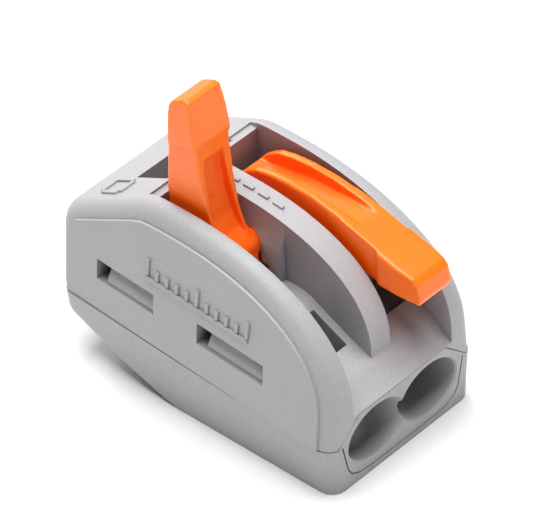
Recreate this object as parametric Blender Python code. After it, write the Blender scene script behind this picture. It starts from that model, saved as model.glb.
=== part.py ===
"""Two-pole lever wire connector: a splicing block for two electrical conductors.

Each pole has a cage-clamp spring that a lever presses open. The left lever stands open and the
right one lies closed. +X runs across the poles, the wires enter at the -Y face, and +Z is up.
The origin is at the middle of the flat underside. Sizes below are in millimetres.
"""

import bmesh
import bpy
from math import acos, atan2, cos, degrees, pi, radians, sin, sqrt, tan
from mathutils import Matrix, Vector

MM = 0.001
SIDES = ((-1, "left"), (1, "right"))
ABOVE_ALL = 16.0  # cutters that leave by the top reach this height

# Overall sizes and the parting line between the housing and the base
WIDTH = 12.6
LENGTH = 20.8
SEAM_HEIGHT = 4.0
SEAM_SLOPE = 0.073
SEAM_GAP = 0.05
SHELL_DRAFT = 0.085
BASE_DRAFT = 0.09
HALF_WIDTH = WIDTH / 2
FRONT = -LENGTH / 2
REAR = LENGTH / 2

# Housing outline, seen from the side: a superellipse over the levers and a slope behind them
CROWN_Y = 2.0
CROWN_Z = 5.5
CROWN_RISE = 7.85
CROWN_POWER = 2.15
APEX_Y = 4.0
REAR_SLOPE = 0.49
REAR_ROUNDING = 2.1
PANEL_PROUD = 0.18
PANEL_INSET = 0.9
SIDE_ROUNDING = 1.05

# Poles, lever slots and the fin between them
POLE_X = 2.5
FIN_HALF = 0.8
BOSS_HALF = 1.15
BOSS_FRONT_Y = -2.5
BOSS_TOP_Z = 11.6
SLOT_OUTER_X = 4.2
SLOT_REAR_Y = 4.0
NOTCH_REAR_Y = 7.15
NOTCH_HALF = 2.45
NOTCH_FLOOR_Z = 10.3
HUMP_Y = -1.6
HUMP_Z = 5.0
HUMP_INNER = 2.75
HUMP_TOP_Z = 8.46
SLOT_MOUTH_X = (1.3, 3.75)
SLOT_MOUTH_Y = (-7.45, -5.0)
FIN_FOOT_Y = -8.83

# Chambers for the springs, below the slots
CHAMBER_INNER_X = 0.6
CHAMBER_OUTER_X = 4.4
CHAMBER_FRONT_Y = -7.6
CHAMBER_REAR_Y = 8.6
CHAMBER_ROOF_Z = 9.4

# Levers
PIVOT_Y = -0.1
PIVOT_Z = 10.2
LEVER_TRAVEL = 102.0
PAD_HALF = 1.5
TIP_HALF = 1.34
NECK_HALF = 1.32
ARM_HALF = 1.22
PAD_END_Y = -7.65
AXLE_HALF = 1.85
AXLE_RADIUS = 0.85
GROOVE_HALF = 0.72

# Current bar and springs
BAR_BOTTOM_Z = 4.6
BAR_THICKNESS = 0.8
TONGUE_WIDTH = 2.2
SPRING_WIDTH = 3.4
SPRING_THICKNESS = 0.35
SPRING_WINDOW = 2.4
LOOP_Y = 4.6
FOOT_FRONT_Y = 1.2

# Wire entries
MOUTH_X = 2.2
MOUTH_Z = 2.7
MOUTH_HALF_WIDTH = 2.4
MOUTH_HALF_HEIGHT = 1.8
BORE_Z = 2.75
BORE_RADIUS = 1.65
FLOOR_Z = 0.7
ENTRY_TOP_Z = 4.8
PLATE_HALF = 5.4
PLATE_SHOULDER = 1.75
PLATE_DEPTH = 2.75

# Latch windows: (front end, rear end) of each, along the housing's side
WINDOWS = ((-5.45, -0.47), (2.85, 7.2))
WINDOW_BOTTOM = 6.15
WINDOW_TOP = 7.53
TAB_MARGIN = 0.12
POCKET_MARGIN = 0.22
TAB_OUTER_X = 5.07


def seam_z(y):
    return SEAM_HEIGHT + SEAM_SLOPE * y


def shell_half_width(z):
    return HALF_WIDTH - SHELL_DRAFT * (z - SEAM_HEIGHT)


def base_half_width(z):
    return HALF_WIDTH - BASE_DRAFT * (SEAM_HEIGHT - z)


def clear_scene():
    for obj in list(bpy.data.objects):
        bpy.data.objects.remove(obj, do_unlink=True)


def collection(name):
    made = bpy.data.collections.new(name)
    bpy.context.scene.collection.children.link(made)
    return made


def material(name, colour, roughness, metallic=0.0):
    made = bpy.data.materials.new(name)
    made.use_nodes = True
    shader = made.node_tree.nodes["Principled BSDF"]
    shader.inputs["Base Color"].default_value = (*colour, 1)
    shader.inputs["Roughness"].default_value = roughness
    shader.inputs["Metallic"].default_value = metallic
    made.diffuse_color = (*colour, 1)
    return made


def finished(name, bm, into, made_of=None):
    """An object from a bmesh whose lengths are in millimetres."""
    bmesh.ops.scale(bm, vec=(MM, MM, MM), verts=bm.verts)
    bmesh.ops.recalc_face_normals(bm, faces=bm.faces)
    mesh = bpy.data.meshes.new(name)
    bm.to_mesh(mesh)
    bm.free()
    obj = bpy.data.objects.new(name, mesh)
    into.objects.link(obj)
    if made_of:
        mesh.materials.append(made_of)
    return obj


def arc(centre, radius, start, end, steps):
    """Points on an arc in the (y, z) plane, angles in degrees from +Y towards +Z."""
    angles = [radians(start + (end - start) * i / steps) for i in range(steps + 1)]
    return [(centre[0] + radius * cos(a), centre[1] + radius * sin(a)) for a in angles]


def crown(centre, reach, rise, power, start_y, steps):
    """The quarter of a superellipse that runs forward from start_y to its foremost point."""
    first = acos((centre[0] - start_y) / reach)
    points = []
    for i in range(steps + 1):
        angle = first * (1 - i / steps)
        y = centre[0] - reach * cos(angle) ** (2 / power)
        z = centre[1] + rise * sin(angle) ** (2 / power)
        points.append((y, z))
    return points


def extruded(outline, offset):
    """A bmesh with a flat outline of points moved along an offset to make a solid."""
    bm = bmesh.new()
    face = bm.faces.new([bm.verts.new(point) for point in outline])
    grown = bmesh.ops.extrude_face_region(bm, geom=[face])["geom"]
    moved = [item for item in grown if isinstance(item, bmesh.types.BMVert)]
    bmesh.ops.translate(bm, vec=offset, verts=moved)
    bmesh.ops.recalc_face_normals(bm, faces=bm.faces)
    return bm


def prism(outline, x0, x1):
    """A solid with a (y, z) outline, from x0 to x1."""
    return extruded([(x0, y, z) for y, z in outline], (x1 - x0, 0, 0))


def lengthwise_prism(outline, y0, y1):
    """A solid with an (x, z) outline, from y0 to y1."""
    return extruded([(x, y0, z) for x, z in outline], (0, y1 - y0, 0))


def upright_prism(outline, z0, z1):
    """A solid with an (x, y) outline, from z0 to z1."""
    return extruded([(x, y, z0) for x, y in outline], (0, 0, z1 - z0))


def box(low, high):
    bm = bmesh.new()
    size = Vector(high) - Vector(low)
    middle = (Vector(high) + Vector(low)) / 2
    bmesh.ops.create_cube(bm, size=1, matrix=Matrix.Translation(middle) @ Matrix.Diagonal((*size, 1)))
    return bm


def tapered(bm, half_width):
    """Scales the width to follow the mould's draft, given as the half width at each height."""
    for vert in bm.verts:
        vert.co.x *= half_width(vert.co.z) / HALF_WIDTH
    return bm


def bevel_edges(bm, wanted, width, steps):
    edges = [edge for edge in bm.edges if wanted(edge)]
    bmesh.ops.bevel(bm, geom=edges, offset=width, segments=steps, profile=0.5, affect="EDGES")
    return bm


def mirrored(low, high):
    """The box and its mirror image in the plane X = 0."""
    return [(low, high), ((-high[0], low[1], low[2]), (-low[0], high[1], high[2]))]


class Cutters:
    """Makes cutters in their own collection and adds the Booleans that use them."""

    def __init__(self):
        self.into = collection("cutters")
        self.into.hide_render = True

    def add(self, target, bm, name, operation="DIFFERENCE"):
        cutter = finished(f"{target.name}_{name}", bm, self.into)
        cutter.hide_render = True
        cutter.display_type = "WIRE"
        modifier = target.modifiers.new(name, "BOOLEAN")
        modifier.operation = operation
        modifier.object = cutter
        modifier.solver = "EXACT"
        return cutter

    def cut_boxes(self, target, boxes, name):
        for index, (low, high) in enumerate(boxes):
            self.add(target, box(low, high), f"{name}_{index}")


def shaded_smooth(obj, angle=35):
    obj.data.shade_smooth()
    obj.data.set_sharp_from_angle(angle=radians(angle))


def housing_outline(inset, lower):
    """The housing's side view, inset from its outline and closed along a line at height lower(y)."""
    front = FRONT + inset
    rise = CROWN_RISE - 1.2 * inset
    points = crown((CROWN_Y, CROWN_Z), CROWN_Y - front, rise, CROWN_POWER, CROWN_Y, 20)
    apex_z = CROWN_Z + rise
    rear = REAR - inset
    rounding = max(REAR_ROUNDING - inset, 0.25)
    turn = 90 - degrees(atan2(REAR_SLOPE, 1))
    corner_z = apex_z - REAR_SLOPE * (rear - APEX_Y)
    centre = (rear - rounding, corner_z - rounding * tan(radians(turn / 2)))
    return [
        (front, lower(front)),
        *reversed(points),
        (APEX_Y - 0.7, apex_z - 0.01),
        (APEX_Y, apex_z - 0.08),
        (APEX_Y + 0.6, apex_z - 0.31),
        *arc(centre, rounding, turn, 0, 6),
        (rear, lower(rear)),
    ]


def is_side_outline(edge):
    """True for an edge that lies in one side's plane, apart from the one along the parting line."""
    (a, b) = (vert.co for vert in edge.verts)
    if abs(a.x - b.x) > 1e-4:
        return False
    return max(a.z, b.z) > SEAM_HEIGHT + 1.2


def above_seam(y):
    return seam_z(y) + SEAM_GAP / 2


def slot_outline():
    """What a lever slot removes, seen from the side: down to the hump and the slope in front of it."""
    return [
        (SLOT_REAR_Y, ABOVE_ALL),
        (SLOT_REAR_Y, CHAMBER_ROOF_Z - 0.6),
        (-1.75, CHAMBER_ROOF_Z - 0.9),
        (-1.95, 8.36),
        (-2.4, HUMP_TOP_Z - 0.03),
        (-3.2, HUMP_TOP_Z),
        (-3.9, HUMP_TOP_Z - 0.06),
        (-4.5, 8.22),
        (-5.0, 7.93),
        (-5.8, 7.5),
        (-7.4, 6.72),
        (-8.2, 6.4),
        (-8.95, 6.1),
        (-8.95, ABOVE_ALL),
    ]


def fin_outline():
    """What is removed above the fin and the ramp in front of it, seen from the side."""
    top = crown((CROWN_Y, 6.2), CROWN_Y - FIN_FOOT_Y, 6.7, 2.3, CROWN_Y, 16)
    ramp = [(-9.3, 5.78), (-9.8, 5.3), (-10.3, 4.93), (-11.0, 4.6)]
    return [(SLOT_REAR_Y + 0.5, ABOVE_ALL), (SLOT_REAR_Y + 0.5, 12.93), *top, *ramp, (-11.0, ABOVE_ALL)]


def chamber_outline():
    """A spring chamber, seen from the side, open below the parting line."""
    roof = arc((HUMP_Y, HUMP_Z), HUMP_INNER, 90, 155, 8)
    return [
        (CHAMBER_REAR_Y, 1.0),
        (CHAMBER_REAR_Y, CHAMBER_ROOF_Z - 0.7),
        (CHAMBER_REAR_Y - 0.9, CHAMBER_ROOF_Z),
        (SLOT_REAR_Y - 0.3, CHAMBER_ROOF_Z),
        (HUMP_Y, CHAMBER_ROOF_Z - 0.2),
        *roof,
        (SLOT_MOUTH_Y[1] - 0.15, 5.35),
        (CHAMBER_FRONT_Y, 5.1),
        (CHAMBER_FRONT_Y, 1.0),
    ]


def axle_recess(side, inner):
    """A recess for one end of a lever's axle: round above the pivot and open to the chamber below."""
    radius = AXLE_RADIUS + 0.1
    outline = arc((PIVOT_Y, PIVOT_Z), radius, 0, 180, 14)
    outline += [(PIVOT_Y - radius, 6.4), (PIVOT_Y + radius, 6.4)]
    depth = AXLE_HALF + 0.07
    if inner:
        return prism(outline, side * (POLE_X - depth), side * (BOSS_HALF + 0.3))
    return prism(outline, side * (SLOT_OUTER_X - 0.3), side * (POLE_X + depth))


def window_outline(front, rear, longer, higher):
    """A latch window, seen from the side, grown at its ends and top. It leans with the parting line."""
    low_y = front - longer
    high_y = rear + longer
    top = WINDOW_TOP + higher
    return [
        (low_y, WINDOW_BOTTOM + SEAM_SLOPE * low_y),
        (high_y, WINDOW_BOTTOM + SEAM_SLOPE * high_y),
        (high_y, top + SEAM_SLOPE * high_y),
        (low_y, top + SEAM_SLOPE * low_y),
    ]


def entry_plate(half_width, top, depth, below, proud=0.0):
    """The front plate over the wire entries: a low trapezoid with sloping shoulders."""
    shoulder_x = half_width - PLATE_SHOULDER
    low = seam_z(FRONT) - below
    shoulder_z = seam_z(FRONT) + 0.05
    outline = [(-half_width, low), (half_width, low), (half_width, shoulder_z), (shoulder_x, top)]
    outline += [(-shoulder_x, top), (-half_width, shoulder_z)]
    return lengthwise_prism(outline, FRONT - proud, FRONT + depth)


def cut_slot(shell, cutters, side, name):
    """One lever's slot: wide in front of the boss, narrower beside it, and open to the spring chamber."""
    front_slot = [(BOSS_FRONT_Y, ABOVE_ALL), (BOSS_FRONT_Y, HUMP_TOP_Z)]
    front_slot += [point for point in slot_outline() if point[0] < BOSS_FRONT_Y]
    cutters.add(shell, prism(front_slot, side * FIN_HALF, side * SLOT_OUTER_X), f"slot_front_{name}")
    whole = prism(slot_outline(), side * BOSS_HALF, side * (SLOT_OUTER_X + 0.001))
    cutters.add(shell, whole, f"slot_{name}")
    low = BOSS_TOP_Z - 1.6
    above_boss = [(FIN_HALF + 0.001, BOSS_TOP_Z), (BOSS_HALF + 0.2, low), (2.0, low)]
    above_boss += [(2.0, ABOVE_ALL), (FIN_HALF + 0.001, ABOVE_ALL)]
    above_boss = [(side * x, z) for x, z in above_boss]
    boss_ledge = lengthwise_prism(above_boss, BOSS_FRONT_Y - 0.5, SLOT_REAR_Y - 0.001)
    cutters.add(shell, boss_ledge, f"above_boss_{name}")
    chamber = prism(chamber_outline(), side * CHAMBER_INNER_X, side * CHAMBER_OUTER_X)
    cutters.add(shell, chamber, f"chamber_{name}")
    cutters.add(shell, axle_recess(side, False), f"axle_outer_{name}")
    cutters.add(shell, axle_recess(side, True), f"axle_inner_{name}")


def cut_windows(shell, cutters, side, name):
    """The latch windows of one side, with the pockets behind them for the base's tabs."""
    for index, (front, rear) in enumerate(WINDOWS):
        window = prism(window_outline(front, rear, 0.0, 0.0), side * 4.9, side * (HALF_WIDTH + 0.7))
        cutters.add(shell, window, f"window_{index}_{name}")
        pocket = [(front - POCKET_MARGIN, 1.0), (rear + POCKET_MARGIN, 1.0)]
        pocket += window_outline(front, rear, POCKET_MARGIN, 0.15)[2:]
        behind = prism(pocket, side * (CHAMBER_OUTER_X - 0.3), side * (TAB_OUTER_X + 0.08))
        cutters.add(shell, behind, f"pocket_{index}_{name}")


def make_housing(into, cutters, made_of):
    half = HALF_WIDTH - PANEL_PROUD
    bm = prism(housing_outline(0.0, above_seam), -half, half)
    bevel_edges(bm, is_side_outline, SIDE_ROUNDING, 4)
    shell = finished("housing_shell", tapered(bm, shell_half_width), into, made_of)
    panel_outline = housing_outline(PANEL_INSET, lambda y: above_seam(y) + 0.02)
    panel = prism(panel_outline, -HALF_WIDTH, HALF_WIDTH)
    cutters.add(shell, tapered(panel, shell_half_width), "side_panels", "UNION")

    top_cut = prism(fin_outline(), -SLOT_OUTER_X, SLOT_OUTER_X)
    cutters.add(shell, top_cut, "above_fin")
    for side, name in SIDES:
        cut_slot(shell, cutters, side, name)
        cut_windows(shell, cutters, side, name)
    notch = ((-NOTCH_HALF, SLOT_REAR_Y + 0.3, NOTCH_FLOOR_Z), (NOTCH_HALF, NOTCH_REAR_Y, ABOVE_ALL))
    cutters.cut_boxes(shell, [notch], "notch")
    mouth = ((SLOT_MOUTH_X[0], SLOT_MOUTH_Y[0], 4.6), (SLOT_MOUTH_X[1], SLOT_MOUTH_Y[1], 9.0))
    cutters.cut_boxes(shell, mirrored(*mouth), "floor_mouth")
    bar_room = ((-1.2, CHAMBER_FRONT_Y, 1.0), (1.2, CHAMBER_REAR_Y, BAR_BOTTOM_Z + BAR_THICKNESS + 0.1))
    cutters.cut_boxes(shell, [bar_room], "bar_clearance")
    plate_room = entry_plate(PLATE_HALF + 0.05, ENTRY_TOP_Z + 0.04, PLATE_DEPTH + 0.15, 1.0, 0.5)
    cutters.add(shell, plate_room, "entry_plate")
    shaded_smooth(shell)
    return shell


def base_outline():
    return [
        (FRONT, 0.0),
        (1.0, 0.0),
        (2.0, 0.16),
        (9.0, 2.42),
        (9.65, 2.75),
        (10.0, 3.3),
        (10.05, seam_z(10.05) - SEAM_GAP / 2),
        (FRONT, seam_z(FRONT) - SEAM_GAP / 2),
    ]


def is_base_rounding(edge):
    (a, b) = (vert.co for vert in edge.verts)
    if abs(a.x - b.x) > 1e-4:
        return False
    on_seam = all(abs(p.z - seam_z(p.y)) < 0.2 for p in (a, b))
    return not on_seam and (a.y + b.y < 2 * FRONT + 1 or a.y + b.y > 17.5)


def oval(x, z, half_width, half_height, y, steps=28):
    """A ring of points around a wire entry, at the given depth."""
    angles = [2 * pi * i / steps for i in range(steps)]
    return [Vector((x + half_width * cos(a), y, z + half_height * sin(a))) for a in angles]


def funnel(side):
    """A wire entry: an oval mouth that narrows to a round bore, lofted from rings."""
    near_x = side * MOUTH_X
    far_x = side * POLE_X
    wide = MOUTH_HALF_WIDTH
    tall = MOUTH_HALF_HEIGHT
    rings = [
        oval(near_x, MOUTH_Z, wide + 0.32, tall + 0.32, FRONT - 0.3),
        oval(near_x, MOUTH_Z, wide + 0.06, tall + 0.06, FRONT),
        oval(near_x, MOUTH_Z, wide - 0.04, tall - 0.04, FRONT + 0.12),
        oval(near_x + side * 0.1, MOUTH_Z, wide - 0.28, tall - 0.06, FRONT + 0.9),
        oval(far_x, BORE_Z, BORE_RADIUS + 0.1, BORE_RADIUS + 0.05, FRONT + 2.4),
        oval(far_x, BORE_Z, BORE_RADIUS, BORE_RADIUS, CHAMBER_FRONT_Y + 0.5),
    ]
    bm = bmesh.new()
    loops = [[bm.verts.new(point) for point in ring] for ring in rings]
    count = len(loops[0])
    for near, far in zip(loops, loops[1:]):
        for i in range(count):
            j = (i + 1) % count
            bm.faces.new((near[i], near[j], far[j], far[i]))
    bm.faces.new(loops[0])
    bm.faces.new(loops[-1])
    bmesh.ops.recalc_face_normals(bm, faces=bm.faces)
    return bm


def catch_outline(side):
    """A latch catch, seen along Y: thin at the top and thick where it rests on the window's edge."""
    section = [(5.0, 0.04), (5.92, 0.04), (5.85, 0.3), (5.25, 1.3), (5.0, 1.3)]
    return [(side * x, z) for x, z in section]


def latch_catch(side, front, rear):
    """The catch, which runs along a window and leans with the parting line."""
    start = front + 0.06
    length = rear - 0.7 - start
    lift = WINDOW_BOTTOM + SEAM_SLOPE * start
    section = [(x, start, z + lift) for x, z in catch_outline(side)]
    return extruded(section, (0, length, SEAM_SLOPE * length))


def make_base(into, cutters, made_of):
    bm = prism(base_outline(), -HALF_WIDTH, HALF_WIDTH)
    bevel_edges(bm, is_base_rounding, 1.0, 4)
    base = finished("wire_entry_base", tapered(bm, base_half_width), into, made_of)
    cutters.add(base, entry_plate(PLATE_HALF, ENTRY_TOP_Z, PLATE_DEPTH, 0.3, -0.01), "plate", "UNION")
    for side, name in SIDES:
        for index, (front, rear) in enumerate(WINDOWS):
            tab = [(front - TAB_MARGIN, 2.9), (rear + TAB_MARGIN, 2.9)]
            tab += window_outline(front, rear, TAB_MARGIN, 0.06)[2:]
            cutters.add(base, prism(tab, side * 4.5, side * TAB_OUTER_X), f"tab_{index}_{name}", "UNION")
            cutters.add(base, latch_catch(side, front, rear), f"catch_{index}_{name}", "UNION")
    wire_room = ((CHAMBER_INNER_X, CHAMBER_FRONT_Y + 0.3, FLOOR_Z), (CHAMBER_OUTER_X, 1.4, 9))
    cutters.cut_boxes(base, mirrored(*wire_room), "wire_room")
    rear_room = ((-CHAMBER_OUTER_X, 5.0, 2.3), (CHAMBER_OUTER_X, CHAMBER_REAR_Y, 9))
    cutters.cut_boxes(base, [rear_room], "rear_room")
    for side, name in SIDES:
        cutters.add(base, funnel(side), f"funnel_{name}")
    support_half = CHAMBER_OUTER_X - 0.07
    support = box((-support_half, 1.6, 1.6), (support_half, 4.8, BAR_BOTTOM_Z - 0.1))
    cutters.add(base, support, "bar_support", "UNION")
    shaded_smooth(base)
    return base


def make_bar(into, cutters, made_of):
    """The current bar: a strip across both poles with a tongue under each spring's cage."""
    top = BAR_BOTTOM_Z + BAR_THICKNESS
    half = TONGUE_WIDTH / 2
    bm = box((-POLE_X - half, 1.0, BAR_BOTTOM_Z), (POLE_X + half, 4.4, top))
    bevel_edges(bm, lambda edge: True, 0.08, 1)
    bar = finished("current_bar", bm, into, made_of)
    for side, name in SIDES:
        middle = side * POLE_X
        low = (middle - half + 0.001, -5.6, BAR_BOTTOM_Z + 0.001)
        tongue = box(low, (middle + half - 0.001, 2.0, top - 0.001))
        bevel_edges(tongue, lambda edge: True, 0.1, 2)
        cutters.add(bar, tongue, f"tongue_{name}", "UNION")
    return bar


def between(start, end, steps):
    """The points that divide the straight line between two points of the (y, z) plane."""
    parts = [i / steps for i in range(1, steps)]
    return [(start[0] + (end[0] - start[0]) * t, start[1] + (end[1] - start[1]) * t) for t in parts]


def spring_path(opened):
    """The spring's centre line: foot on the bar, round the loop, over the arch, down the cage leg."""
    foot_z = BAR_BOTTOM_Z + BAR_THICKNESS + SPRING_THICKNESS / 2 + 0.05
    loop_radius = 1.55 - 0.2 * opened
    loop = (LOOP_Y, foot_z + loop_radius)
    arch_radius = 2.45 - 0.25 * opened
    arch = (HUMP_Y + 1.05 * opened, HUMP_Z - 1.75 * opened)
    leg_end_z = 3.7 - 2.85 * opened
    away_y = arch[0] - loop[0]
    away_z = arch[1] - loop[1]
    distance = sqrt(away_y**2 + away_z**2)
    tangent = atan2(away_z, away_y) - acos((loop_radius - arch_radius) / distance)
    tangent = (tangent + 2 * pi) % (2 * pi)
    lift = degrees(tangent)
    points = [(FOOT_FRONT_Y + 0.5 * i, foot_z) for i in range(7)]
    points += arc(loop, loop_radius, -90, lift, 18)
    points += between(points[-1], arc(arch, arch_radius, lift, lift, 1)[0], 6)
    points += arc(arch, arch_radius, lift, 180, 12)
    leg_y = arch[0] - arch_radius
    return [*points, *between((leg_y, arch[1]), (leg_y, leg_end_z), 5), (leg_y, leg_end_z)]


def ribbon(path, x, width, thickness):
    """A strip of sheet that follows a (y, z) path, centred at x."""
    normals = []
    for i in range(len(path)):
        before = path[max(i - 1, 0)]
        after = path[min(i + 1, len(path) - 1)]
        direction = Vector((after[0] - before[0], after[1] - before[1])).normalized()
        normals.append((-direction.y, direction.x))
    half = thickness / 2
    outer = [(p[0] + n[0] * half, p[1] + n[1] * half) for p, n in zip(path, normals)]
    inner = [(p[0] - n[0] * half, p[1] - n[1] * half) for p, n in zip(path, normals)]
    return prism(outer + inner[::-1], x - width / 2, x + width / 2)


def path_between(path, start, end):
    """The stretch of a path between two distances along it."""
    travelled = 0.0
    kept = []
    for before, after in zip(path, path[1:]):
        if start <= travelled <= end:
            kept.append(before)
        travelled += sqrt((after[0] - before[0]) ** 2 + (after[1] - before[1]) ** 2)
    return kept


def path_length(path):
    return sum(sqrt((b[0] - a[0]) ** 2 + (b[1] - a[1]) ** 2) for a, b in zip(path, path[1:]))


def make_spring(name, side, opened, into, cutters, made_of):
    path = spring_path(opened)
    x = side * POLE_X
    spring = finished(name, ribbon(path, x, SPRING_WIDTH, SPRING_THICKNESS), into, made_of)
    length = path_length(path)
    window = path_between(path, length - 6.75, length - 0.75)
    cutters.add(spring, ribbon(window, x, SPRING_WINDOW, 1.0), "window")
    shaded_smooth(spring, 40)
    return spring


def lever_outline():
    """The closed lever's side view, from its pivot: nose, top, tip, pad, neck and hub."""
    return [
        (3.2, 0.8),
        (3.22, 1.35),
        (2.8, 1.95),
        (2.2, 2.42),
        (1.6, 2.75),
        (0.6, 2.97),
        (-0.85, 3.08),
        (-2.65, 3.0),
        (-4.45, 2.7),
        (-6.2, 2.2),
        (-8.0, 1.65),
        (-10.1, 1.08),
        (-10.45, 0.78),
        (-10.7, -0.2),
        (-10.55, -0.6),
        (-9.2, -0.62),
        (-7.75, -0.58),
        (-7.1, -0.36),
        (-6.0, -0.22),
        (-4.6, -0.12),
        (-3.4, -0.1),
        (-2.4, -0.14),
        (-1.4, -0.32),
        (-0.6, -0.6),
        (0.4, -0.8),
        (1.4, -0.65),
        (2.6, 0.1),
    ]


def lever_flank(side):
    """What is removed beside the lever, seen from above: the pad's taper, the neck and the arm."""
    outline = [
        (TIP_HALF - 0.12, -11.7),
        (TIP_HALF, -10.4),
        (PAD_HALF + 0.01, -8.7),
        (PAD_HALF + 0.01, PAD_END_Y),
        (NECK_HALF, PAD_END_Y + 0.2),
        (NECK_HALF, -5.4),
        (ARM_HALF, -2.9),
        (ARM_HALF, 4.5),
        (3.0, 4.5),
        (3.0, -11.7),
    ]
    return [(side * x, y) for x, y in outline]


def lever_channel():
    """The hollow in the underside: it starts in a round arch behind the pad and runs out at the hub."""
    floor = [(-6.6, -2.0), (-6.6, -0.2), (-6.1, 0.2), (-5.1, 0.42), (-3.6, 0.48)]
    floor += [(-2.3, 0.35), (-1.3, 0.0), (-0.6, -0.65), (-0.6, -2.0)]
    bm = prism(floor, -0.95, 0.95)
    for vert in bm.verts:
        vert.co.x *= 1.0 - 0.045 * max(-2.5 - vert.co.y, 0.0)
    return bm


def make_lever(name, side, opened, into, cutters, made_of):
    bm = prism(lever_outline(), -PAD_HALF, PAD_HALF)
    bevel_edges(bm, lambda edge: abs(edge.verts[0].co.x - edge.verts[1].co.x) < 0.5, 0.2, 2)
    lever = finished(name, bm, into, made_of)
    pivot = Vector((side * POLE_X, PIVOT_Y, PIVOT_Z)) * MM
    turn = -radians(LEVER_TRAVEL) * opened
    lever.matrix_world = Matrix.Translation(pivot) @ Matrix.Rotation(turn, 4, "X")

    def add(shape, label, operation="DIFFERENCE"):
        cutters.add(lever, shape, label, operation).matrix_world = lever.matrix_world

    add(upright_prism(lever_flank(-1), -2, 4), "flank_left")
    add(upright_prism(lever_flank(1), -2, 4), "flank_right")
    axle = bmesh.new()
    bmesh.ops.create_cone(
        axle,
        cap_ends=True,
        segments=32,
        radius1=AXLE_RADIUS,
        radius2=AXLE_RADIUS,
        depth=2 * AXLE_HALF,
        matrix=Matrix.Rotation(pi / 2, 4, "Y"),
    )
    add(axle, "axle", "UNION")
    groove = [(4.2, 2.0), (2.2, 1.75), (-1.0, 2.25), (-3.8, 2.35), (-5.9, 2.32), (-5.9, 4), (4.2, 4)]
    add(prism(groove, -GROOVE_HALF, GROOVE_HALF), "top_groove")
    add(lever_channel(), "underside_channel")
    shaded_smooth(lever, 40)
    return lever


def main():
    clear_scene()
    parts = collection("lever_wire_connector")
    cutters = Cutters()
    grey = material("grey_polyamide", (0.42, 0.42, 0.44), 0.55)
    orange = material("orange_polyamide", (1.0, 0.17, 0.01), 0.3)
    tinned = material("tinned_copper", (0.78, 0.76, 0.72), 0.3, 1.0)
    steel = material("spring_steel", (0.6, 0.6, 0.62), 0.25, 1.0)
    make_housing(parts, cutters, grey)
    make_base(parts, cutters, grey)
    make_bar(parts, cutters, tinned)
    make_spring("clamp_spring_left", -1, 1.0, parts, cutters, steel)
    make_spring("clamp_spring_right", 1, 0.0, parts, cutters, steel)
    make_lever("lever_left", -1, 1.0, parts, cutters, orange)
    make_lever("lever_right", 1, 0.0, parts, cutters, orange)


main()
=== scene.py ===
"""The lever wire connector's looks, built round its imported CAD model.

Each CAD node gets a finer copy that replaces it. The copies are shaped in
millimetres and then brought back to the scene's metres.
"""

from math import cos, radians, sin

import bmesh
import bpy
from mathutils import Matrix, Vector
from mathutils.bvhtree import BVHTree


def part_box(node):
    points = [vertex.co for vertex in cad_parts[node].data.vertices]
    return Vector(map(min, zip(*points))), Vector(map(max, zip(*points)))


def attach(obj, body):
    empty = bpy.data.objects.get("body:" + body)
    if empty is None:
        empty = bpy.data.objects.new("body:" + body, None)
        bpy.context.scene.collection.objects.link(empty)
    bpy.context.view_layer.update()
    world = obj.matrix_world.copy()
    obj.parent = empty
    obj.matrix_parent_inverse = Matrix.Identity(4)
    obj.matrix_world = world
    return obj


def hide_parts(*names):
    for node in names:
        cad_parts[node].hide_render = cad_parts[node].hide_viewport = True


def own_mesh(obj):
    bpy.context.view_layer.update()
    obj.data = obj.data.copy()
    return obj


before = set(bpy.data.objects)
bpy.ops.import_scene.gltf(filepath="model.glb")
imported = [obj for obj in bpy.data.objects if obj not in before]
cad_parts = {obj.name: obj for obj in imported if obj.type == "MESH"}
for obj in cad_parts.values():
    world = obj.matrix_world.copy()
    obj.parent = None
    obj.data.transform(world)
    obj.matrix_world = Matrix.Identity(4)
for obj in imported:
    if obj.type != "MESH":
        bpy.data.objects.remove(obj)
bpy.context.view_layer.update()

MM = 0.001

# Hard pieces, in millimetres and degrees
WELD_DISTANCE = 0.002
FLAT_ANGLE = 0.4
ROUNDED_ANGLE = 28
SHARP_ANGLE = 40
ROUNDING = 0.05
HOUSING_ROUNDING = 0.1
ROUNDING_STEPS = 3

# Levers, whose shapes flow into each other
LEVER_GRID = 0.075
LEVER_SMOOTHINGS = 9
LEVER_FACES_KEPT = 0.4

# Raised marks, in millimetres, with how far out the rays that place them start
MARK_HEIGHT = 0.15
MARK_WIDTH = 0.24
MARK_ROUNDING = 0.05
BESIDE_ALL = 9.0
OVER_THE_TOP = 3.0

# The gauge on each side: y and z of its start, and its ticks
GAUGE_START = (-4.2, 8.25)
GAUGE_SLOPE = 0.073
GAUGE_STEP = 0.75
GAUGE_STEPS = 10
STEPS_TO_LONG_TICK = 5
LONG_TICK = 1.15
SHORT_TICK = 0.6
TICK_GAP = 0.04

# The frame on the rear slope: x, distance from the rear, direction and length of each bar
FRAME_BARS = (
    (-4.3, 2.9, (0, 1, 0), 1.3),
    (-2.9, 2.9, (0, 1, 0), 1.3),
    (-3.6, 2.2, (1, 0, 0), 1.15),
    (-3.6, 3.6, (1, 0, 0), 1.15),
)

# The dashes on the fin between the slots
DASHES = 4
FIRST_DASH = 1.9
DASH_STEP = 1.1
DASH_LENGTH = 0.7

# The groove near the edge of the wire-entry face: (x, z) of its right half, downwards
GROOVE_HALF = ((5.17, 3.3), (4.72, 1.3), (4.4, 0.85), (3.8, 0.55), (2.5, 0.42))
GROOVE_CENTRE = (0.0, 2.7)
GROOVE_WIDTH = 0.11
GROOVE_DEPTH = 0.12
CUTTER_OVERHANG = 0.5

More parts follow.
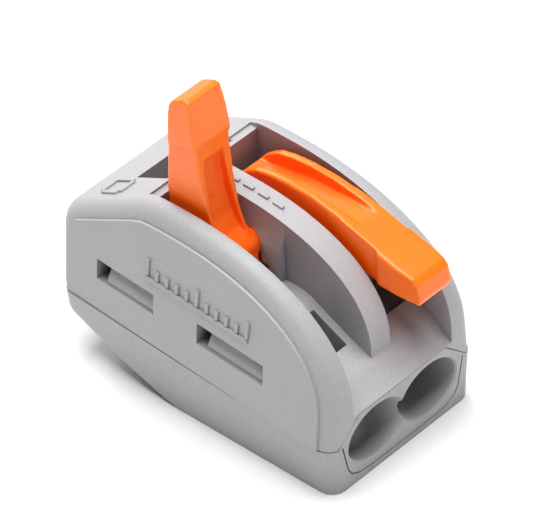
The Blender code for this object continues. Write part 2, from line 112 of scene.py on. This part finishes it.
# The camera, in metres and degrees, with its lens and sensor in millimetres
CAMERA_TURN = 46.58
CAMERA_RISE = 39.885
CAMERA_ROLL = 2.203
CAMERA_DISTANCE = 0.3
CAMERA_AIM = (0.0, 0.0, 0.006)
CAMERA_OFFSET = (0.000339, 0.00134)
CAMERA_LENS = 354.2
CAMERA_SENSOR = 36
CAMERA_REACH = 10

# The lights, all aimed at the origin: name, place and size in metres, power in watts
LIGHTS = (
    ("key", (0.0, 0.02, 0.5), 0.4, 3.7),
    ("far_side", (0.2, 0.45, 0.35), 0.3, 1.5),
    ("front_fill", (0.1, -0.5, 0.12), 0.3, 0.15),
)
WORLD_STRENGTH = 0.15
FLOOR_HALF_WIDTH = 1.5
FLOOR_TONE = (0.9, 0.9, 0.9)
FLOOR_ROUGHNESS = 0.9


def srgb(*levels):
    """A linear colour from 0 to 255 levels as a screen shows them."""
    return tuple(
        (v / 255 / 12.92) if v <= 10 else ((v / 255 + 0.055) / 1.055) ** 2.4
        for v in levels
    )


# ---------------------------------------------------------------- materials


class Nodes:
    """A material's node tree with short calls for the nodes used here."""

    def __init__(self, name):
        self.material = bpy.data.materials.new(name)
        self.material.use_nodes = True
        self.tree = self.material.node_tree
        self.shader = self.tree.nodes["Principled BSDF"]
        self.place = self.tree.nodes.new("ShaderNodeTexCoord").outputs["Object"]

    def feed(self, value, socket):
        """Links another node's output, or sets a plain number, vector or colour."""
        if isinstance(value, bpy.types.NodeSocket):
            self.tree.links.new(value, socket)
        elif socket.type == "RGBA":
            socket.default_value = (*value, 1)
        else:
            socket.default_value = value

    def shade(self, name, value):
        self.feed(value, self.shader.inputs[name])

    def noise(self, scale, detail):
        node = self.tree.nodes.new("ShaderNodeTexNoise")
        node.inputs["Scale"].default_value = scale
        node.inputs["Detail"].default_value = detail
        self.feed(self.place, node.inputs["Vector"])
        return node.outputs["Fac"]

    def mapped(self, value, source, target):
        """A value taken from its source range to a target range, and kept inside."""
        node = self.tree.nodes.new("ShaderNodeMapRange")
        for socket, number in zip(list(node.inputs)[1:5], (*source, *target)):
            socket.default_value = number
        self.feed(value, node.inputs["Value"])
        return node.outputs["Result"]

    def mixed(self, factor, first, second):
        """Two colours mixed: a factor of 0 gives the first and 1 the second."""
        node = self.tree.nodes.new("ShaderNodeMix")
        node.data_type = "RGBA"
        colours = [socket for socket in node.inputs if socket.type == "RGBA"]
        for value, socket in zip((first, second), colours):
            self.feed(value, socket)
        self.feed(factor, node.inputs["Factor"])
        return next(socket for socket in node.outputs if socket.type == "RGBA")

    def openness(self, reach, source):
        """A mask for painted shade: from 0 in a narrow hollow to 1 on an open face."""
        node = self.tree.nodes.new("ShaderNodeAmbientOcclusion")
        node.samples = 6
        node.inputs["Distance"].default_value = reach
        return self.mapped(node.outputs["AO"], source, (0.0, 1.0))

    def bump(self, height, strength, distance, below=None):
        node = self.tree.nodes.new("ShaderNodeBump")
        node.inputs["Strength"].default_value = strength
        node.inputs["Distance"].default_value = distance
        self.feed(height, node.inputs["Height"])
        if below:
            self.feed(below, node.inputs["Normal"])
        return node.outputs["Normal"]


def moulded_grey(name):
    """Satin polyamide: a fine grain over the faint unevenness that moulding leaves.

    Narrow hollows get a painted shade, a darker tone mixed in by an occlusion mask, or
    the white studio would leave them too bright.
    """
    nodes = Nodes(name)
    cloudy = nodes.noise(scale=300.0, detail=3.0)
    fine = nodes.noise(scale=9000.0, detail=1.0)
    speckle = nodes.mapped(fine, (0.35, 0.65), (0.0, 1.0))
    clouds = nodes.mixed(cloudy, srgb(170, 170, 173), srgb(178, 178, 181))
    speckles = nodes.mixed(speckle, srgb(160, 160, 163), srgb(184, 184, 187))
    open_tone = nodes.mixed(0.35, clouds, speckles)
    # painted shade: a darker grey for narrow hollows, mixed in by the occlusion mask
    # below
    painted_shade_tone = nodes.mixed(cloudy, srgb(118, 118, 121), srgb(126, 126, 129))
    openness = nodes.openness(reach=0.004, source=(0.1, 0.75))
    nodes.shade("Base Color", nodes.mixed(openness, painted_shade_tone, open_tone))
    grain = nodes.noise(scale=6500.0, detail=2.0)
    nodes.shade("Roughness", nodes.mapped(grain, (0.3, 0.7), (0.42, 0.58)))
    waves = nodes.bump(nodes.noise(scale=800.0, detail=1.0), 0.15, 0.00004)
    nodes.shade("Normal", nodes.bump(grain, 0.35, 0.000012, below=waves))
    return nodes.material


def moulded_orange(name):
    """Smooth, slightly translucent polyamide, with a painted shade, darker and redder, in
    hollows.

    The weak glow is painted light, standing for the light that passes through the thin
    levers.
    """
    nodes = Nodes(name)
    cloudy = nodes.noise(scale=260.0, detail=2.0)
    open_tone = nodes.mixed(cloudy, srgb(255, 116, 10), srgb(255, 126, 18))
    # painted shade: a darker, redder orange for hollows, mixed in by the occlusion mask
    # below
    painted_shade_tone = nodes.mixed(cloudy, srgb(250, 68, 0), srgb(255, 78, 0))
    openness = nodes.openness(reach=0.004, source=(0.3, 0.95))
    nodes.shade("Base Color", nodes.mixed(openness, painted_shade_tone, open_tone))
    grain = nodes.noise(scale=5000.0, detail=2.0)
    nodes.shade("Roughness", nodes.mapped(grain, (0.3, 0.7), (0.31, 0.35)))
    nodes.shade("Normal", nodes.bump(nodes.noise(scale=700.0, detail=1.0), 0.15, 0.00004))
    # painted light: a weak orange glow, though the levers are no lamp
    nodes.shade("Emission Color", (1.0, 0.11, 0.0))
    nodes.shade("Emission Strength", 0.13)
    nodes.shade("Subsurface Weight", 0.2)
    nodes.shade("Subsurface Radius", (0.0016, 0.0005, 0.0001))
    nodes.shade("Subsurface Scale", 1.0)
    nodes.shade("Specular IOR Level", 0.5)
    return nodes.material


def metal(name, colour, roughness, brush):
    """Metal with fine mottling, brush being the scale of its noise."""
    nodes = Nodes(name)
    mottling = nodes.noise(scale=brush, detail=4.0)
    dark = tuple(0.85 * level for level in colour)
    nodes.shade("Base Color", nodes.mixed(mottling, dark, colour))
    range_of_roughness = (roughness - 0.06, roughness + 0.08)
    nodes.shade("Roughness", nodes.mapped(mottling, (0.3, 0.7), range_of_roughness))
    nodes.shade("Normal", nodes.bump(mottling, 0.1, 0.00001))
    nodes.shade("Metallic", 1.0)
    return nodes.material


# ---------------------------------------------------------------- fine meshes


def linked(name, data):
    obj = bpy.data.objects.new(name, data)
    bpy.context.scene.collection.objects.link(obj)
    return obj


def made_of(name, bm):
    """An object from a bmesh, which it frees."""
    mesh = bpy.data.meshes.new(name)
    bm.to_mesh(mesh)
    bm.free()
    return linked(name, mesh)


def apply_modifiers(obj):
    """Replaces the object's mesh with what its modifiers make of it."""
    graph = bpy.context.evaluated_depsgraph_get()
    mesh = bpy.data.meshes.new_from_object(obj.evaluated_get(graph))
    obj.modifiers.clear()
    obj.data = mesh


def add_boolean(piece, shape, operation):
    boolean = piece.modifiers.new(shape.name, "BOOLEAN")
    boolean.operation = operation
    boolean.object = shape
    boolean.solver = "EXACT"


def add_crisp(piece, rounding):
    """Modifiers for a hard moulded piece: clean flats and small round edges."""
    weld = piece.modifiers.new("weld", "WELD")
    weld.merge_threshold = WELD_DISTANCE
    flats = piece.modifiers.new("whole_flats", "DECIMATE")
    flats.decimate_type = "DISSOLVE"
    flats.angle_limit = radians(FLAT_ANGLE)
    bevel = piece.modifiers.new("round_edges", "BEVEL")
    bevel.width = rounding
    bevel.segments = ROUNDING_STEPS
    bevel.limit_method = "ANGLE"
    bevel.angle_limit = radians(ROUNDED_ANGLE)


def add_soft(piece):
    """Modifiers for flowing shapes: an even fine grid with its edges softly rounded."""
    grid = piece.modifiers.new("even_grid", "REMESH")
    grid.mode = "VOXEL"
    grid.voxel_size = LEVER_GRID
    smooth = piece.modifiers.new("soft_edges", "SMOOTH")
    smooth.factor = 0.5
    smooth.iterations = LEVER_SMOOTHINGS
    piece.modifiers.new("fewer_faces", "DECIMATE").ratio = LEVER_FACES_KEPT


def fine_copy(
    node, name, body, material, soft=False, cuts=None, marks=None, rounding=ROUNDING
):
    """A new piece with the CAD node's shape in finer detail, in place of that node.

    Cuts are taken out before the edges are rounded, and marks are joined after.
    """
    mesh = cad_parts[node].data.copy()
    mesh.transform(Matrix.Scale(1 / MM, 4))
    piece = linked(name, mesh)
    if cuts:
        add_boolean(piece, cuts, "DIFFERENCE")
    if soft:
        add_soft(piece)
    else:
        add_crisp(piece, rounding)
    if marks:
        add_boolean(piece, marks, "UNION")
    apply_modifiers(piece)
    for shape in (cuts, marks):
        if shape:
            bpy.data.objects.remove(shape, do_unlink=True)
    piece.data.transform(Matrix.Scale(MM, 4))
    piece.data.materials.clear()
    piece.data.materials.append(material)
    piece.data.shade_smooth()
    if not soft:
        piece.data.set_sharp_from_angle(angle=radians(SHARP_ANGLE))
    weighted = piece.modifiers.new("flat_faces_first", "WEIGHTED_NORMAL")
    weighted.keep_sharp = not soft
    apply_modifiers(piece)
    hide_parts(node)
    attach(piece, body)
    return piece


# ---------------------------------------------------------------- marks and groove


def shape_for_boolean(name, bm):
    bmesh.ops.recalc_face_normals(bm, faces=bm.faces)
    return made_of(name, bm)


class MarkedSurface:
    """Raised marks set on a CAD node's surface, in millimetres."""

    def __init__(self, node):
        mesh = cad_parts[node].data
        points = [vert.co / MM for vert in mesh.vertices]
        faces = [face.vertices for face in mesh.polygons]
        self.tree = BVHTree.FromPolygons(points, faces)
        self.marks = bmesh.new()

    def bar(self, place, towards, along, length):
        """Adds a bar, lengthwise along a direction, where a ray from place lands."""
        point, normal, _, _ = self.tree.ray_cast(Vector(place), Vector(towards))
        along = Vector(along)
        along = (along - normal * along.dot(normal)).normalized()
        across = normal.cross(along)
        turned = Matrix((along, across, normal)).transposed().to_4x4()
        size = Matrix.Diagonal((length, MARK_WIDTH, 2 * MARK_HEIGHT, 1))
        placed = Matrix.Translation(point) @ turned @ size
        made = bmesh.ops.create_cube(self.marks, size=1, matrix=placed)
        upper = [vert for vert in made["verts"] if (vert.co - point).dot(normal) > 0]
        edges = dict.fromkeys(
            edge
            for vert in upper
            for edge in vert.link_edges
            if edge.other_vert(vert) in upper
        )
        bmesh.ops.bevel(
            self.marks,
            geom=list(edges),
            offset=MARK_ROUNDING,
            segments=2,
            profile=0.5,
            affect="EDGES",
        )

    def finished(self, name):
        return shape_for_boolean(name, self.marks)


def add_gauge(surface, side):
    """A plain strip gauge without numbers, on the side that faces along side times X."""
    inwards = (-side, 0, 0)
    along = Vector((0, 1, GAUGE_SLOPE))
    upright = Vector((0, -GAUGE_SLOPE, 1))
    start = Vector((side * BESIDE_ALL, *GAUGE_START))
    length = GAUGE_STEPS * GAUGE_STEP
    surface.bar(start + along * length / 2, inwards, along, length + MARK_WIDTH)
    for step in range(GAUGE_STEPS + 1):
        tick = SHORT_TICK if step % STEPS_TO_LONG_TICK else LONG_TICK
        rise = MARK_WIDTH / 2 + TICK_GAP + tick / 2
        middle = start + along * step * GAUGE_STEP + upright * rise
        surface.bar(middle, inwards, upright, tick)


def housing_marks():
    """The gauge on each side, a small frame on the rear slope, dashes on the fin."""
    surface = MarkedSurface("housing_shell")
    _, high = (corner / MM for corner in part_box("housing_shell"))
    above = high.z + OVER_THE_TOP
    downwards = (0, 0, -1)
    for side in (-1, 1):
        add_gauge(surface, side)
    for x, from_rear, direction, length in FRAME_BARS:
        surface.bar((x, high.y - from_rear, above), downwards, direction, length)
    for dash in range(DASHES):
        place = (0.0, FIRST_DASH - DASH_STEP * dash, above)
        surface.bar(place, downwards, (0, 1, 0), DASH_LENGTH)
    return surface.finished("housing_marks")


def strip(outer, width):
    """A closed outline: an open one and its copy, nearer the groove's centre."""
    centre = Vector(GROOVE_CENTRE)
    inner = []
    for x, z in outer:
        inwards = (centre - Vector((x, z))).normalized() * width
        inner.append((x + inwards.x, z + inwards.y))
    return [*outer, *inner[::-1]]


def rim_groove():
    """The shape that cuts the thin groove near the edge of the wire-entry face."""
    low, _ = (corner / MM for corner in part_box("wire_entry_base"))
    outline = [(-x, z) for x, z in GROOVE_HALF] + [*GROOVE_HALF[::-1]]
    front = low.y - CUTTER_OVERHANG
    bm = bmesh.new()
    face = bm.faces.new(
        [bm.verts.new((x, front, z)) for x, z in strip(outline, GROOVE_WIDTH)]
    )
    grown = bmesh.ops.extrude_face_region(bm, geom=[face])["geom"]
    moved = [item for item in grown if isinstance(item, bmesh.types.BMVert)]
    thickness = CUTTER_OVERHANG + GROOVE_DEPTH
    bmesh.ops.translate(bm, vec=(0, thickness, 0), verts=moved)
    return shape_for_boolean("rim_groove", bm)


# ---------------------------------------------------------------- the studio


def make_camera():
    """From the left and above, far enough away for little perspective."""
    turn = radians(CAMERA_TURN)
    rise = radians(CAMERA_RISE)
    roll = radians(CAMERA_ROLL)
    to_right = Vector((cos(turn), -sin(turn), 0))
    towards = Vector((-sin(turn) * cos(rise), -cos(turn) * cos(rise), sin(rise)))
    to_top = towards.cross(to_right)
    right = to_right * cos(roll) - to_top * sin(roll)
    top = to_top * cos(roll) + to_right * sin(roll)
    aim = Vector(CAMERA_AIM) + right * CAMERA_OFFSET[0] + top * CAMERA_OFFSET[1]
    data = bpy.data.cameras.new("camera")
    data.lens = CAMERA_LENS
    data.sensor_width = CAMERA_SENSOR
    data.clip_end = CAMERA_REACH
    camera = linked("camera", data)
    turned = Matrix((right, top, towards)).transposed().to_4x4()
    camera.matrix_world = Matrix.Translation(aim + towards * CAMERA_DISTANCE) @ turned
    bpy.context.scene.camera = camera


def make_light(name, place, size, power):
    data = bpy.data.lights.new(name, "AREA")
    data.size = size
    data.energy = power
    light = linked(name, data)
    turned = (-Vector(place)).to_track_quat("-Z", "Y").to_matrix().to_4x4()
    light.matrix_world = Matrix.Translation(place) @ turned


def make_floor():
    bm = bmesh.new()
    bmesh.ops.create_grid(bm, x_segments=1, y_segments=1, size=FLOOR_HALF_WIDTH)
    floor = made_of("floor", bm)
    nodes = Nodes("floor")
    nodes.shade("Base Color", FLOOR_TONE)
    nodes.shade("Roughness", FLOOR_ROUGHNESS)
    floor.data.materials.append(nodes.material)


def make_world():
    world = bpy.data.worlds.new("studio")
    world.use_nodes = True
    background = world.node_tree.nodes["Background"]
    background.inputs["Color"].default_value = (1, 1, 1, 1)
    background.inputs["Strength"].default_value = WORLD_STRENGTH
    bpy.context.scene.world = world


# ---------------------------------------------------------------- the object


def make_pieces():
    grey = moulded_grey("grey_polyamide")
    orange = moulded_orange("orange_polyamide")
    tinned = metal("tinned_copper_fine", srgb(214, 210, 202), 0.32, 2600.0)
    steel = metal("spring_steel_fine", srgb(196, 196, 200), 0.24, 3400.0)
    fine_copy(
        "housing_shell",
        "housing_skin",
        "connector_body",
        grey,
        marks=housing_marks(),
        rounding=HOUSING_ROUNDING,
    )
    fine_copy("wire_entry_base", "base_skin", "connector_body", grey, cuts=rim_groove())
    fine_copy("lever_left", "left_lever_skin", "left_lever", orange, soft=True)
    fine_copy("lever_right", "right_lever_skin", "right_lever", orange, soft=True)
    fine_copy("current_bar", "tinned_bar", "connector_body", tinned)
    fine_copy("clamp_spring_left", "left_spring_fine", "connector_body", steel)
    # The right lever presses its spring down onto the bar as it opens.
    right_spring = fine_copy(
        "clamp_spring_right", "right_spring_fine", "connector_body", steel
    )
    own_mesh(right_spring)


def main():
    make_pieces()
    make_camera()
    make_floor()
    make_world()
    for name, place, size, power in LIGHTS:
        make_light(name, place, size, power)
    bpy.context.scene.view_settings.view_transform = "Standard"


main()
